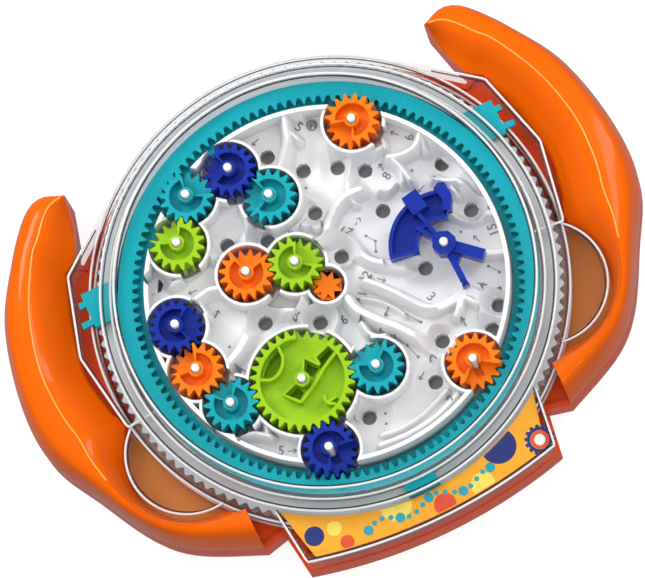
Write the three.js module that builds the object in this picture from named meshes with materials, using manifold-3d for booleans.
// Two-handed maze toy, lying on its back, in millimetres.
// +Z points out of the clear front and +Y towards the handle tips. The origin is on the axis, at the back.
// A disc with a maze and gears turns inside a clear case.
// Its gears roll on a fixed internal ring gear and on a fixed sun pinion.

import * as THREE from "three";
import { mergeVertices } from "three/addons/utils/BufferGeometryUtils.js";
import Module from "manifold-3d";

const wasm = await Module();
wasm.setup();

// ---- driving dimensions ----

const GAP = 0.3;                 // clearance between touching pieces
const SHELL = 2.2;               // wall of the opaque shells
const CLEAR_WALL = 1.6;          // wall of the clear case
const SHORTEST_EDGE = 0.004;
const ROUND = 48;                // sides of the largest circles

const BASE_TOP = 13;             // seam between the rear shell and the front pieces
const FRONT_FOOT = BASE_TOP + GAP;
const FLOOR_BOTTOM = 17;         // underside of the maze floor
const FLOOR_TOP = 21;
const RING_BOTTOM = 24.6;
const RING_TOP = 30;
const GEAR_BOTTOM = 24.5;
const GEAR_TOP = 37.5;
const HUB_TOP = 39;
const POST_TOP = 41.5;
const WELL_TOP = 35;             // walls round the gears
const LANE_TOP = 30;             // walls of the ball's lanes
const MOUTH_WIDTH = 7;           // gap in a gear's well, where the ball goes in
const MOUTH_SILL = 27;
const CASE_TOP = 44;

const CASE_RADIUS = 97.3;
const WINDOW_RADIUS = 87;
const SHOULDER_RADIUS = 92;
const SHOULDER_HEIGHT = 31.5;
const SKIRT_HEIGHT = 25;
const FLANGE_HEIGHT = 29.6;
const LABEL_HEIGHT = 28.5;
const LABEL_BOTTOM = -105;
const LABEL_ARC_RADIUS = 218;

const GRIP_HEIGHT = 37;
const GRIP_TIP_HEIGHT = 30;
const HOLLOW_SHARE = 0.85;       // size of a grip's hollow against its outside

const SCOOP = { x: 79, y: -36, radius: 26, top: 26, floor: 15 };

const MODULE = 1.25;             // gear module: pitch radius = module * teeth / 2
const ADDENDUM = 1.1;
const DEDENDUM = 1.5;
const BACKLASH = 0.35;           // taken off each tooth's thickness at the pitch circle
const RING_TEETH = 124;
const SUN_TEETH = 8;
const RING_OUTER = 84.7;
const WEB_BOTTOM = 23.2;            // thin web below the ring's teeth
const WEB_TOP = 24.2;
const WEB_INNER = 74.2;
const BORE_RADIUS = 2.2;
const POST_RADIUS = 1.9;

const RIM_TIP = 94.5;
const RIM_BOTTOM = 15.8;
const RIM_TOP = 24;
const RIM_ROOT = 92.7;
const RIM_TEETH = 118;
const TRAY_RADIUS = 86;
const HOLE_RADIUS = 3;
const BALL_RADIUS = 2.5;
const BALL_CENTRE = [22, 65];

const ROCKER_PIVOT = [49.3, -6.3];
const ROCKER_BOTTOM = 30.5;
const ROCKER_FENCE_TOP = 38;
const ROCKER_ARM_TOP = 37;
const ROCKER_TROUGH_TOP = 36;

const COLORS = {
  orange: 0xf26a12, redOrange: 0xd8400c, teal: 0x17a3b4, blue: 0x1c2f9e, lime: 0x8fc31f, white: 0xf2f2f4,
  grey: 0x8d9096, clear: 0xe6eef2, yellow: 0xfdb913, steel: 0xb9bcc0,
};

// ---- solids ----

const degrees = (angle) => (angle * Math.PI) / 180;
const polar = (radius, angle, [x, y] = [0, 0]) =>
  [x + radius * Math.cos(degrees(angle)), y + radius * Math.sin(degrees(angle))];
const mirrored = (points) => points.map(([x, y]) => [-x, y]).reverse();

function arc(centre, radius, from, to, steps) {
  const step = (to - from) / steps;
  return Array.from({ length: steps + 1 }, (_, i) => polar(radius, from + step * i, centre));
}

function signedVolume(positions, index) {
  const [a, b, c] = [new THREE.Vector3(), new THREE.Vector3(), new THREE.Vector3()];
  let sum = 0;
  for (let i = 0; i < index.length; i += 3) {
    a.fromArray(positions, index[i] * 3);
    b.fromArray(positions, index[i + 1] * 3);
    c.fromArray(positions, index[i + 2] * 3);
    sum += a.dot(b.cross(c)) / 6;
  }
  return sum;
}

// A closed geometry as a solid that faces out, whichever way its faces were wound.
function toSolid(geometry) {
  geometry.deleteAttribute("normal");
  geometry.deleteAttribute("uv");
  const merged = mergeVertices(geometry, 1e-4);
  const vertProperties = new Float32Array(merged.attributes.position.array);
  const triVerts = new Uint32Array(merged.index.array);
  if (signedVolume(vertProperties, triVerts) < 0) {
    for (let i = 0; i < triVerts.length; i += 3) {
      [triVerts[i], triVerts[i + 1]] = [triVerts[i + 1], triVerts[i]];
    }
  }
  return new wasm.Manifold(new wasm.Mesh({ numProp: 3, vertProperties, triVerts }));
}

// The solid's surface, with edges too short to keep closed up.
function toGeometry(solid) {
  const { vertProperties, triVerts } = solid.getMesh();
  const geometry = new THREE.BufferGeometry();
  geometry.setAttribute("position", new THREE.BufferAttribute(new Float32Array(vertProperties), 3));
  geometry.setIndex(new THREE.BufferAttribute(new Uint32Array(triVerts), 1));
  const merged = mergeVertices(geometry, SHORTEST_EDGE);
  const kept = [];
  for (let i = 0; i < merged.index.array.length; i += 3) {
    const triangle = merged.index.array.slice(i, i + 3);
    if (new Set(triangle).size === 3) {
      kept.push(...triangle);
    }
  }
  merged.setIndex(kept);
  return merged;
}

const join = (...solids) => solids.flat().reduce((whole, solid) => whole.add(solid));
const cut = (solid, ...tools) => tools.flat().reduce((rest, tool) => rest.subtract(tool), solid);

function prism(points, bottom, top) {
  const shape = new THREE.Shape(points.map(([x, y]) => new THREE.Vector2(x, y)));
  const geometry = new THREE.ExtrudeGeometry(shape, { depth: top - bottom, bevelEnabled: false });
  return toSolid(geometry.translate(0, 0, bottom));
}

function disc(radius, bottom, top, [x, y] = [0, 0], segments = 24) {
  const geometry = new THREE.CylinderGeometry(radius, radius, top - bottom, segments);
  return toSolid(geometry.rotateX(Math.PI / 2).translate(x, y, (top + bottom) / 2));
}

function ring(outer, inner, bottom, top, centre = [0, 0], segments = 24) {
  const bore = disc(inner, bottom - 1, top + 1, centre, segments);
  return cut(disc(outer, bottom, top, centre, segments), bore);
}

function turned(profile, segments) {
  const points = profile.map(([radius, height]) => new THREE.Vector2(radius, height));
  return toSolid(new THREE.LatheGeometry(points, segments).rotateX(Math.PI / 2));
}

// A wall of even width along a line of points.
function wall(points, width, bottom, top) {
  const normals = points.map((point, i) => {
    const before = points[Math.max(i - 1, 0)];
    const after = points[Math.min(i + 1, points.length - 1)];
    const length = Math.hypot(after[0] - before[0], after[1] - before[1]);
    return [-(after[1] - before[1]) / length, (after[0] - before[0]) / length];
  });
  const side = (offset) =>
    points.map(([x, y], i) => [x + normals[i][0] * offset, y + normals[i][1] * offset]);
  return prism([...side(width / 2), ...side(-width / 2).reverse()], bottom, top);
}

const arcWall = (centre, radius, from, to, width, bottom, top) =>
  wall(arc(centre, radius, from, to, 8), width, bottom, top);

// A counter-clockwise outline moved inwards by a distance.
function inset(points, distance) {
  const count = points.length;
  return points.map((point, i) => {
    const before = points[(i + count - 1) % count];
    const after = points[(i + 1) % count];
    const length = Math.hypot(after[0] - before[0], after[1] - before[1]);
    return [
      point[0] - ((after[1] - before[1]) / length) * distance,
      point[1] + ((after[0] - before[0]) / length) * distance,
    ];
  });
}

function curve(points, steps) {
  const spline = new THREE.CatmullRomCurve3(points.map(([x, y]) => new THREE.Vector3(x, y, 0)));
  return spline.getPoints(steps).map(({ x, y }) => [x, y]);
}

// ---- gears ----

const GEARS = {
  gear_teal_top: { teeth: 16, color: "teal", from: "ring", bearing: 122, mouth: 28 },
  gear_blue_top: { teeth: 16, color: "blue", from: "gear_teal_top", bearing: 7, mouth: -100 },
  gear_teal_inner: { teeth: 16, color: "teal", from: "gear_blue_top", bearing: -59, mouth: 215 },
  gear_lime_left: { teeth: 16, color: "lime", from: "gear_teal_top", bearing: 235, mouth: -90 },
  gear_lime_center: { teeth: 16, color: "lime", from: "sun", bearing: 121, mouth: 15 },
  gear_orange_center: { teeth: 16, color: "orange", from: "gear_lime_center", bearing: 166, mouth: -50 },
  gear_blue_bottom: { teeth: 16, color: "blue", from: "ring", bearing: 246.5, mouth: 55 },
  gear_lime_large: { teeth: 32, color: "lime", from: "gear_blue_bottom", bearing: 86.5, mouth: 50 },
  gear_teal_left: { teeth: 16, color: "teal", from: "gear_lime_large", bearing: 173, mouth: -90 },
  gear_teal_right: { teeth: 16, color: "teal", from: "gear_lime_large", bearing: -15, mouth: 95 },
  gear_orange_left: { teeth: 16, color: "orange", from: "gear_teal_left", bearing: 110, mouth: -40 },
  gear_blue_left: { teeth: 16, color: "blue", from: "gear_orange_left", bearing: 90, mouth: 20 },
  gear_orange_right: { teeth: 16, color: "orange", from: "ring", bearing: 306, mouth: 120 },
  gear_orange_top: { teeth: 16, color: "orange", from: "ring", bearing: 56.4, mouth: -55 },
};

const pitchRadius = (teeth) => (MODULE * teeth) / 2;

// Where each gear stands, and the angle of one of its teeth, so that every pair is in mesh at rest.
function placeGears() {
  const placed = { sun: { centre: [0, 0], teeth: SUN_TEETH, phase: 0 } };
  for (const [name, { teeth, from, bearing, mouth }] of Object.entries(GEARS)) {
    if (from === "ring") {
      const centre = polar(pitchRadius(RING_TEETH) - pitchRadius(teeth), bearing);
      const turns = (bearing * RING_TEETH) / 360 + 0.5;
      placed[name] = { centre, teeth, mouth, phase: bearing - (turns * 360) / teeth };
    } else {
      const driver = placed[from];
      const centre = polar(pitchRadius(driver.teeth) + pitchRadius(teeth), bearing, driver.centre);
      const turns = 0.5 - ((bearing - driver.phase) * driver.teeth) / 360;
      placed[name] = { centre, teeth, mouth, phase: bearing + 180 - (turns * 360) / teeth };
    }
  }
  return placed;
}

const PLACED = placeGears();

// Straight-flanked teeth: side is +1 for an outside gear and -1 for an internal one.
function toothOutline(teeth, phase, side = 1, backlash = BACKLASH) {
  const pitch = pitchRadius(teeth);
  const tip = pitch + side * ADDENDUM;
  const root = pitch - side * DEDENDUM;
  const half = ((Math.PI * MODULE) / 2 - backlash) / 2;
  const halfTip = half - 0.36 * ADDENDUM;
  const halfRoot = half + 0.36 * DEDENDUM;
  const spread = (length, radius) => (length / radius) * (180 / Math.PI);
  const outline = [];
  for (let i = 0; i < teeth; i += 1) {
    const angle = phase + (i * 360) / teeth;
    outline.push(polar(root, angle - spread(halfRoot, root)));
    outline.push(polar(tip, angle - spread(halfTip, tip)));
    outline.push(polar(tip, angle + spread(halfTip, tip)));
    outline.push(polar(root, angle + spread(halfRoot, root)));
  }
  return outline;
}

function gearSolid({ teeth, phase }) {
  const troughOuter = pitchRadius(teeth) - 2.8;
  const troughFloor = GEAR_BOTTOM + 3;
  const body = cut(
    prism(toothOutline(teeth, phase), GEAR_BOTTOM, GEAR_TOP),
    disc(troughOuter, troughFloor, GEAR_TOP + 1, [0, 0], 12),
  );
  const hub = disc(4, troughFloor - 1, HUB_TOP, [0, 0], 8);
  return cut(join(body, hub), disc(BORE_RADIUS, GEAR_BOTTOM - 1, HUB_TOP + 1, [0, 0], 8));
}

function sunPinion() {
  const outline = toothOutline(SUN_TEETH, PLACED.sun.phase, 1, 2 * BACKLASH);
  const body = prism(outline, FLOOR_TOP + 1, RING_TOP + 1.5);
  return cut(body, disc(AXLE.radius + GAP, FLOOR_TOP, AXLE.top + GAP, [0, 0], 12));
}

function ringGear() {
  const teeth = prism(toothOutline(RING_TEETH, 0, -1), WEB_TOP, RING_TOP + 1);
  const inside = disc(WEB_INNER, WEB_BOTTOM - 1, RING_TOP + 1, [0, 0], ROUND);
  const band = cut(disc(RING_OUTER, WEB_BOTTOM, RING_TOP, [0, 0], ROUND), teeth, inside);
  const tabTop = RING_BOTTOM + 3;
  const sideTab = [[80, 26.5], [91.3, 26.5], [91.3, 28], [96, 28], [96, 30.5], [91.3, 30.5],
    [91.3, 36], [93.8, 36], [93.8, 38.5], [91.3, 38.5], [91.3, 41.5], [76, 41.5]];
  const bottomTab = [[-6.7, -91.8], [6.7, -91.8], [6.7, -82], [-6.7, -82]];
  return join(
    band,
    prism(sideTab, RING_BOTTOM, tabTop),
    prism(mirrored(sideTab), RING_BOTTOM, tabTop),
    prism(bottomTab, RING_BOTTOM, tabTop),
  );
}

// ---- housing outlines ----

const GRIP_OUTER = curve([
  [80, 81.5], [90, 86.3], [99.5, 82.5], [112, 67], [125, 45], [132, 14], [131, -12], [120, -34], [107, -57],
  [93, -70.5], [67.5, -82.5],
], 20);
const GRIP_INNER = [[80.8, 79], [84, 66], [88, 57.5], [93.9, 51], [102.8, 17.3], [101.2, 0], [97.6, -14]];
const GRIP_SCOOP = arc([SCOOP.x, SCOOP.y], SCOOP.radius + 2 * GAP, 42, -95, 12);
const GRIP_END = [67.5, -62.5];

const FLANGE = [[45, 55], [45, -12], [96.4, -17], [102, 17.3], [92.8, 50], [61.4, 75.5]];

function labelOutline(halfTop, halfBottom, bottom) {
  const corner = degrees(90) - Math.acos(halfBottom / LABEL_ARC_RADIUS);
  const spread = (corner * 180) / Math.PI;
  const low = arc([0, bottom + LABEL_ARC_RADIUS], LABEL_ARC_RADIUS, 270 - spread, 270 + spread, 8);
  return [...low, [halfTop, -74], [halfTop - 4, -60], [4 - halfTop, -60], [-halfTop, -74]];
}

const HANDLE_FOOT = [
  ...[...GRIP_OUTER].reverse(), [84, 66], [88, 57.5], [75, 50], [45, 40], [45, -60], [57, -80],
];

// ---- housing ----

const SCREW_HEAD = 3;
const SCREW_SHANK = 1.5;
const SCREW_TIP = 20;
const GRIP_SCREWS = [[113, 38], [112, -34], [-113, 38], [-112, -34]];
const LABEL_SCREWS = [[50.6, -92.5], [-50.6, -92.5]];
const CASE_SCREWS = [...GRIP_SCREWS, ...LABEL_SCREWS];
const DECK = { bottom: 9.5, top: 11.5, inner: 90 };
const AXLE = { radius: 2.6, flange: 6, foot: 7.8, top: 29 };

function baseFill(distance, bottom, top) {
  const handle = inset(HANDLE_FOOT, distance);
  const flange = inset(FLANGE, distance);
  return join(
    disc(CASE_RADIUS - distance, bottom, top, [0, 0], ROUND),
    prism(handle, bottom, top),
    prism(mirrored(handle), bottom, top),
    prism(flange, bottom, top),
    prism(mirrored(flange), bottom, top),
    prism(inset(labelOutline(59, 55.6, LABEL_BOTTOM - 0.6), distance), bottom, top),
  );
}

function baseShell() {
  const tub = cut(baseFill(0, 0, BASE_TOP), baseFill(SHELL, SHELL, BASE_TOP + 1));
  const bosses = CASE_SCREWS.map((centre) => disc(4.5, 1, BASE_TOP - 0.2, centre, 14));
  const bearing = disc(7, 1, AXLE.foot - GAP, [0, 0], 20);
  const deck = cut(baseFill(SHELL / 2, DECK.bottom, DECK.top), disc(DECK.inner, 0, BASE_TOP, [0, 0], ROUND));
  const heads = CASE_SCREWS.map((centre) => disc(SCREW_HEAD + GAP, -1, 3, centre, 14));
  const shanks = CASE_SCREWS.map((centre) => disc(SCREW_SHANK + GAP, 2, BASE_TOP + 1, centre, 10));
  return cut(join(tub, deck, bosses, bearing), heads, shanks);
}

function screw(centre) {
  return join(disc(SCREW_HEAD, 0.8, 2.7, centre, 10), disc(SCREW_SHANK, 2, SCREW_TIP, centre, 6));
}

function centerAxle() {
  const flange = disc(AXLE.flange, AXLE.foot, AXLE.foot + 1.4, [0, 0], 16);
  return join(flange, disc(AXLE.radius, AXLE.foot + 0.7, AXLE.top, [0, 0], 12));
}

// One cross-section of a grip: outer foot, outer side, shoulder, crest, inner slope and inner foot.
function gripSection(outer, inner, rise) {
  const width = Math.hypot(inner[0] - outer[0], inner[1] - outer[1]);
  const at = (offset, height) => {
    const share = offset / width;
    return [outer[0] + (inner[0] - outer[0]) * share, outer[1] + (inner[1] - outer[1]) * share, height];
  };
  const crest = GRIP_TIP_HEIGHT + (GRIP_HEIGHT - GRIP_TIP_HEIGHT) * rise;
  const low = 24 - 4 * rise;
  const edge = Math.min(width * 0.45, 15);
  return [
    at(0, FRONT_FOOT),
    at(width * 0.02, 21),
    at(width * 0.09, 28),
    at(edge * 0.5, crest - 1.2),
    at(edge, crest),
    at(width * 0.8, low + 4 * rise),
    at(width, low),
    at(width, FRONT_FOOT),
  ];
}

// The hollow inside a section, open at the foot.
function hollowSection(section) {
  const average = (axis) => section.reduce((sum, point) => sum + point[axis], 0) / section.length;
  const middle = [average(0), average(1)];
  return section.map(([x, y, z]) => [
    middle[0] + (x - middle[0]) * HOLLOW_SHARE,
    middle[1] + (y - middle[1]) * HOLLOW_SHARE,
    z > FRONT_FOOT ? FRONT_FOOT + (z - FRONT_FOOT) * HOLLOW_SHARE : BASE_TOP - 1,
  ]);
}

function loft(sections) {
  const size = sections[0].length;
  const positions = sections.flat(2);
  const index = [];
  const quad = (a, b, c, d) => index.push(a, b, c, a, c, d);
  for (let s = 0; s + 1 < sections.length; s += 1) {
    for (let i = 0; i < size; i += 1) {
      const next = (i + 1) % size;
      quad(s * size + i, s * size + next, (s + 1) * size + next, (s + 1) * size + i);
    }
  }
  const last = (sections.length - 1) * size;
  for (let i = 1; i + 1 < size; i += 1) {
    index.push(0, i + 1, i, last, last + i, last + i + 1);
  }
  const geometry = new THREE.BufferGeometry();
  geometry.setAttribute("position", new THREE.BufferAttribute(new Float32Array(positions), 3));
  geometry.setIndex(index);
  return toSolid(geometry);
}

// Points at even steps along a line of points.
function resample(points, count) {
  const path = new THREE.CurvePath();
  for (let i = 0; i + 1 < points.length; i += 1) {
    const [start, end] = [points[i], points[i + 1]].map((point) => new THREE.Vector3(...point, 0));
    path.add(new THREE.LineCurve3(start, end));
  }
  return Array.from({ length: count + 1 }, (_, i) => {
    const { x, y } = path.getPointAt(i / count);
    return [x, y];
  });
}

function gripSolid() {
  const steps = 18;
  const outer = resample(GRIP_OUTER, steps);
  const inner = resample([...GRIP_INNER, ...GRIP_SCOOP, GRIP_END], steps);
  const sections = outer.map((point, i) => {
    const rise = Math.min(1, Math.sin(Math.PI * Math.min(i / steps + 0.12, 0.5)) ** 0.8);
    return gripSection(point, inner[i], rise);
  });
  const skin = cut(loft(sections), disc(CASE_RADIUS + 2 * GAP, 0, LABEL_HEIGHT + GAP, [0, 0], ROUND));
  const hollow = loft(sections.slice(2, -2).map(hollowSection));
  const screws = GRIP_SCREWS.slice(0, 2);
  const bosses = screws.map((centre) => disc(3.6, FRONT_FOOT, CASE_TOP, centre, 12).intersect(skin));
  const holes = screws.map((centre) => disc(SCREW_SHANK + GAP, 12, SCREW_TIP + 1, centre, 10));
  return cut(join(cut(skin, hollow), bosses), holes);
}

function caseProfile(wallThickness, foot) {
  const t = wallThickness;
  return [
    [0, CASE_TOP - t],
    [WINDOW_RADIUS - 3 - t * 0.7, CASE_TOP - t],
    [WINDOW_RADIUS - t, CASE_TOP - 2.5 - t * 0.7],
    [WINDOW_RADIUS - t, 34 - t],
    [SHOULDER_RADIUS - t * 0.6, SHOULDER_HEIGHT - t],
    [CASE_RADIUS - t, SKIRT_HEIGHT - t * 0.4],
    [CASE_RADIUS - t, foot],
    [0, foot],
  ];
}

function caseFill(t, foot) {
  const flange = inset(FLANGE, t);
  return join(
    turned(caseProfile(t, foot), ROUND),
    prism(flange, foot, FLANGE_HEIGHT - t),
    prism(mirrored(flange), foot, FLANGE_HEIGHT - t),
    prism(inset(labelOutline(58, 54.3, LABEL_BOTTOM), t), foot, LABEL_HEIGHT - t),
  );
}

function frontCover() {
  const outside = caseFill(0, FRONT_FOOT);
  const scoops = [SCOOP.x, -SCOOP.x].map((x) => ({
    bowl: disc(SCOOP.radius, FRONT_FOOT, SCOOP.top, [x, SCOOP.y], 24),
    slot: disc(SCOOP.radius - CLEAR_WALL, SCOOP.floor, SKIRT_HEIGHT - 1, [x, SCOOP.y], 24),
    mouth: cut(disc(SCOOP.radius - CLEAR_WALL, SCOOP.floor, CASE_TOP, [x, SCOOP.y], 24), outside),
  }));
  const bosses = LABEL_SCREWS.map((centre) => disc(3.8, FRONT_FOOT, 24.8, centre, 12));
  const holes = LABEL_SCREWS.map((centre) => disc(SCREW_SHANK + GAP, 12, SCREW_TIP + 1, centre, 10));
  const shell = cut(join(outside, scoops.map(({ bowl }) => bowl)), caseFill(CLEAR_WALL, BASE_TOP - 1));
  return cut(join(shell, bosses), holes, scoops.map(({ slot }) => slot), scoops.map(({ mouth }) => mouth));
}

function labelCard() {
  const edge = arc([0, 0], RING_OUTER + 8.1, -53, -127, 14);
  const low = arc([0, LABEL_BOTTOM + 2.2 + LABEL_ARC_RADIUS], LABEL_ARC_RADIUS, 256.6, 283.4, 8);
  return prism([...low, ...edge], 25.2, 25.9);
}

// ---- turning disc ----

// Holes that the ball falls through, listed clockwise from the top.
const HOLES = [
  [0.3, 61.5], [11, 50], [24, 45], [33.5, 39], [8, 32], [33, 20.7], [10, 11], [62.5, 27.8], [65, 5.3],
  [38.5, -8.3], [58.5, -35], [52, -43], [32, -38.5], [22.5, -52.5], [-7.5, -54], [-9, -10], [-29, -0.5],
  [-14, 30], [-29.5, 35.5], [-62.5, 33],
];

const CHUTES = [
  [[13, 75], [10, 66], [4.5, 55.5]],
  [[8, 22], [14, 28], [22, 32], [31, 33]],
  [[45, 37], [52, 41.5], [61, 42]],
  [[5, -8], [12, -15], [22, -26], [28, -36], [30, -41]],
  [[15, -6], [25, -15], [33, -21], [42, -23], [50, -24], [52.5, -33]],
  [[-44, 24], [-50, 14], [-49, 4]],
  [[-24, -2], [-31, 5], [-38, 8]],
];

const TERRACES = [{ radius: 62, from: -93, top: 26 }, { radius: 66, from: -89, top: 28 }];

const RIM_WALL = { outer: 73.6, inner: 71.2, top: 36 };
const TRAY_SCREWS = [90, 210, 330].map((angle) => polar(80, angle));

function mazeTray() {
  const gears = Object.keys(GEARS).map((name) => PLACED[name]);
  const reach = ({ teeth }) => pitchRadius(teeth) + ADDENDUM + 0.8;
  const pockets = gears.map((gear) => disc(reach(gear) + 1.8, FLOOR_TOP - 1, WELL_TOP, gear.centre, 16));
  const clearances = gears.map((gear) => disc(reach(gear), FLOOR_TOP, POST_TOP, gear.centre, 16));
  const inside = disc(RIM_WALL.outer, FLOOR_TOP - 1, POST_TOP, [0, 0], ROUND);
  const mouths = gears.map(({ centre, teeth, mouth }) =>
    wall([centre, polar(pitchRadius(teeth) + 6, mouth, centre)], MOUTH_WIDTH, MOUTH_SILL, POST_TOP));
  const rim = ring(RIM_WALL.outer, RIM_WALL.inner, FLOOR_TOP - 1, RIM_WALL.top, [0, 0], ROUND);
  const chutes = CHUTES.map((points) => wall(points, 2, FLOOR_TOP - 1, LANE_TOP));
  const terraces = TERRACES.map(({ radius, from, top }) =>
    arcWall([0, 0], radius, from, -60, 1.6, FLOOR_TOP - 1, top));
  const pegs = [
    ...gears.map(({ centre }) => ({ centre, seat: GEAR_BOTTOM - GAP })),
    { centre: ROCKER_PIVOT, seat: ROCKER_BOTTOM - GAP },
  ];
  const posts = pegs.map(({ centre }) => disc(POST_RADIUS, FLOOR_TOP - 1, POST_TOP, centre, 8));
  const collars = pegs.map(({ centre, seat }) => disc(4, FLOOR_TOP - 1, seat, centre, 8));
  const plate = disc(TRAY_RADIUS, FLOOR_BOTTOM, FLOOR_TOP, [0, 0], ROUND);
  const walls = cut(
    join(rim, pockets, chutes, terraces).intersect(inside),
    clearances,
    mouths,
    disc(8, FLOOR_TOP, POST_TOP, [0, 0], 16),
  );
  const holes = HOLES.map((centre) => disc(HOLE_RADIUS, FLOOR_BOTTOM - 1, POST_TOP, centre, 8));
  const screws = TRAY_SCREWS.map((centre) => disc(1.8, FLOOR_BOTTOM - 1, FLOOR_TOP - 1, centre, 8));
  return cut(
    join(cut(join(plate, walls), holes), posts, collars),
    disc(AXLE.radius + GAP, FLOOR_BOTTOM - 1, FLOOR_TOP + 1, [0, 0], 12),
    screws,
  );
}

function driveRim() {
  const outline = [];
  for (let i = 0; i < RIM_TEETH; i += 1) {
    const angle = (i * 360) / RIM_TEETH;
    outline.push(polar(RIM_TIP, angle), polar(RIM_ROOT, angle + 180 / RIM_TEETH));
  }
  return cut(prism(outline, RIM_BOTTOM, RIM_TOP), disc(TRAY_RADIUS + GAP, 15, 25, [0, 0], ROUND));
}

function ballTray() {
  const top = FLOOR_BOTTOM - GAP;
  const bowl = cut(disc(85.5, 9.6, top, [0, 0], ROUND), disc(84, 11.2, FLOOR_BOTTOM, [0, 0], ROUND));
  const bosses = TRAY_SCREWS.map((centre) => disc(4.2, 10.5, top, centre, 12));
  const holes = TRAY_SCREWS.map((centre) => disc(1.8, 9, FLOOR_BOTTOM + 1, centre, 8));
  return cut(join(bowl, bosses), holes, disc(AXLE.radius + GAP, 9, 12, [0, 0], 12));
}

function trayScrew(centre) {
  return join(disc(3, 8, 9.3, centre, 12), disc(1.5, 9, FLOOR_TOP - 1.3, centre, 8));
}

// ---- rocker ----

function sector(inner, outer, from, to, bottom, top) {
  const points = [...arc([0, 0], outer, from, to, 12), ...arc([0, 0], inner, to, from, 10)];
  return prism(points, bottom, top);
}

function armPlate(angle, start, end, width, top) {
  return wall([polar(start, angle), polar(end, angle)], width, ROCKER_BOTTOM, top);
}

const ROCKER_HOOK = [[5.2, 12.4], [8.4, 11.4], [11, 16.6], [10.6, 22.6], [8, 23.6], [5.4, 22], [7, 16.6]];

function rockerSolid() {
  const trough = cut(
    sector(10.5, 22.5, 52, 172, ROCKER_BOTTOM, ROCKER_TROUGH_TOP),
    sector(12, 21, 53, 171, ROCKER_BOTTOM + 1.5, ROCKER_TROUGH_TOP + 1),
  );
  const fence = armPlate(100, 16.5, 25, 7, ROCKER_FENCE_TOP);
  const hook = prism(ROCKER_HOOK, ROCKER_BOTTOM, ROCKER_FENCE_TOP);
  const spokes = [108, 124].map((angle) => armPlate(angle, 3, 11.5, 2, ROCKER_ARM_TOP));
  const arms = [armPlate(-42, 2, 16, 5, ROCKER_ARM_TOP), armPlate(-88, 2, 19, 2.5, ROCKER_TROUGH_TOP)];
  const hub = disc(5, ROCKER_BOTTOM, HUB_TOP, [0, 0], 8);
  return cut(join(hub, trough, fence, hook, spokes, arms), disc(BORE_RADIUS, 20, HUB_TOP + 1, [0, 0], 10));
}

// ---- the whole toy ----

const toy = new THREE.Group();

function material(color, roughness = 0.35, metalness = 0) {
  return new THREE.MeshStandardMaterial({ color: COLORS[color], roughness, metalness });
}

function piece(name, solid, finish, [x, y] = [0, 0], parent = toy) {
  const mesh = new THREE.Mesh(toGeometry(solid), finish);
  mesh.name = name;
  mesh.position.set(x, y, 0);
  parent.add(mesh);
  return mesh;
}

function mirroredSolid(solid) {
  return toSolid(toGeometry(solid).scale(-1, 1, 1));
}

function addHousing() {
  const grip = gripSolid();
  const glass = material("clear", 0.05);
  glass.transparent = true;
  glass.opacity = 0.3;
  piece("base_shell", baseShell(), material("redOrange"));
  piece("front_cover", frontCover(), glass);
  piece("right_grip", grip, material("orange", 0.25));
  piece("left_grip", mirroredSolid(grip), material("orange", 0.25));
  piece("ring_gear", ringGear(), material("teal"));
  piece("sun_pinion", sunPinion(), material("orange"));
  piece("center_axle", centerAxle(), material("grey"));
  piece("label_card", labelCard(), material("yellow", 0.6));
  CASE_SCREWS.forEach((centre, i) => {
    piece(`case_screw_${i + 1}`, screw(centre), material("steel", 0.3, 1));
  });
}

function addDisc() {
  const disk = new THREE.Group();
  toy.add(disk);
  piece("maze_tray", mazeTray(), material("white", 0.45), [0, 0], disk);
  piece("drive_rim", driveRim(), material("clear", 0.3), [0, 0], disk);
  piece("ball_tray", ballTray(), material("grey", 0.5), [0, 0], disk);
  TRAY_SCREWS.forEach((centre, i) => {
    piece(`tray_screw_${i + 1}`, trayScrew(centre), material("steel", 0.3, 1), [0, 0], disk);
  });
  for (const [name, { color }] of Object.entries(GEARS)) {
    piece(name, gearSolid(PLACED[name]), material(color, 0.3), PLACED[name].centre, disk);
  }
  piece("rocker", rockerSolid(), material("blue", 0.3), ROCKER_PIVOT, disk);
}

function addBall() {
  const ball = new THREE.Mesh(new THREE.IcosahedronGeometry(BALL_RADIUS, 2), material("steel", 0.1, 1));
  ball.name = "steel_ball";
  ball.position.set(...BALL_CENTRE, FLOOR_TOP + BALL_RADIUS + GAP);
  toy.add(ball);
}

addHousing();
addDisc();
addBall();

export default toy;
